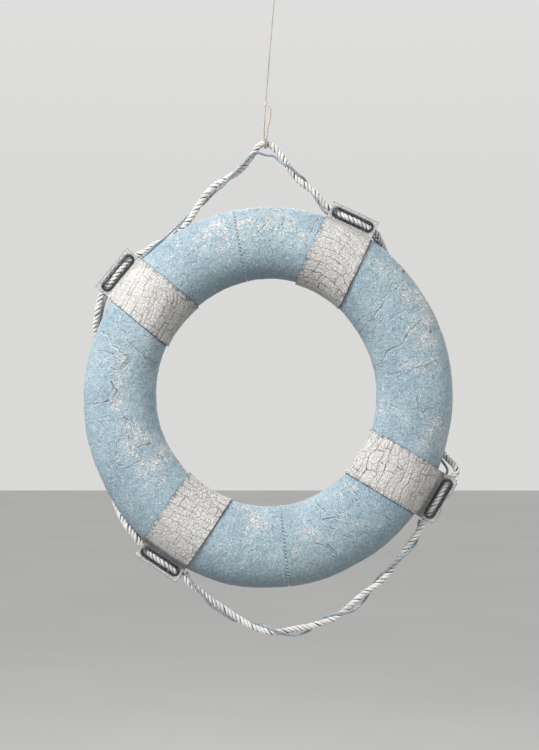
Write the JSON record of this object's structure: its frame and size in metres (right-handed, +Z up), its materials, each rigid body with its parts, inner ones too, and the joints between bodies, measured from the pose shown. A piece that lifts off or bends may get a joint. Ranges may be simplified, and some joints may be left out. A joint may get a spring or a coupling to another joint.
{
  "type": "ring lifebuoy",
  "caption": "Canvas-covered cork ring lifebuoy with canvas bands and oblong eyelets, a laid grab line with a lashing cord wound along it, hanging from a twine loop.",
  "frame": {"origin": "the inside top of the hanging eye, where it bears on a hook or nail", "axes": "+Z up as it hangs, the front face towards -Y, X across the ring"},
  "size_m": [0.7548, 0.1412, 1.3298],
  "materials": {
    "cork": "rough cork",
    "peg_wood": "plain turned wood",
    "blue_canvas": "worn, crazed paint",
    "white_canvas": "cracked paint",
    "gunmetal": "dark, slightly worn",
    "white_rope": "three-strand laid rope",
    "blue_cord": "thin twisted cord",
    "twine": "rough natural twine"
  },
  "bodies": {
    "hanger": {"hanging_eye": "twine"},
    "twine": {"eye_knot": "twine", "hanging_twine": "twine", "tail_knot": "twine"},
    "lifebuoy": {"cork_block_1": "cork", "cork_block_2": "cork", "cork_block_3": "cork", "cork_block_4": "cork", "cork_block_5": "cork", "cork_block_6": "cork", "cork_block_7": "cork", "cork_block_8": "cork", "joint_peg_1": "peg_wood", "joint_peg_2": "peg_wood", "joint_peg_3": "peg_wood", "joint_peg_4": "peg_wood", "joint_peg_5": "peg_wood", "joint_peg_6": "peg_wood", "joint_peg_7": "peg_wood", "joint_peg_8": "peg_wood", "canvas_panel_1": "blue_canvas", "canvas_panel_2": "blue_canvas", "canvas_panel_3": "blue_canvas", "canvas_panel_4": "blue_canvas", "canvas_panel_5": "blue_canvas", "canvas_panel_6": "blue_canvas", "canvas_panel_7": "blue_canvas", "canvas_panel_8": "blue_canvas", "band_top_right": "white_canvas", "band_top_left": "white_canvas", "band_bottom_left": "white_canvas", "band_bottom_right": "white_canvas", "eyelet_front_top_right": "gunmetal", "eyelet_front_top_left": "gunmetal", "eyelet_front_bottom_left": "gunmetal", "eyelet_front_bottom_right": "gunmetal", "eyelet_back_top_right": "gunmetal", "eyelet_back_top_left": "gunmetal", "eyelet_back_bottom_left": "gunmetal", "eyelet_back_bottom_right": "gunmetal", "grab_line_upper": "white_rope", "lashing_cord_left": "blue_cord", "lashing_cord_top": "blue_cord", "lashing_cord_right": "blue_cord", "splice_whipping_upper": "twine", "splice_whipping_lower": "twine"},
    "lower_bight": {"grab_line_lower": "white_rope", "lashing_cord_lower": "blue_cord"}
  },
  "joints": [
    {"name": "twine_turn", "type": "hinge", "parent": "hanger", "child": "twine", "pos_m": [0, 0, -0.034], "axis": [0, 0, 1], "range_deg": [-90, 90]},
    {"name": "buoy_swing", "type": "hinge", "parent": "twine", "child": "lifebuoy", "pos_m": [-0.0176, 0, -0.341], "axis": [1, 0, 0], "range_deg": [-30, 30]},
    {"name": "bight_lift", "type": "hinge", "parent": "lifebuoy", "child": "lower_bight", "pos_m": [-0.1807, 0, -1.2072], "axis": [0.9755, 0, 0.22], "range_deg": [-75, 75]}
  ]
}
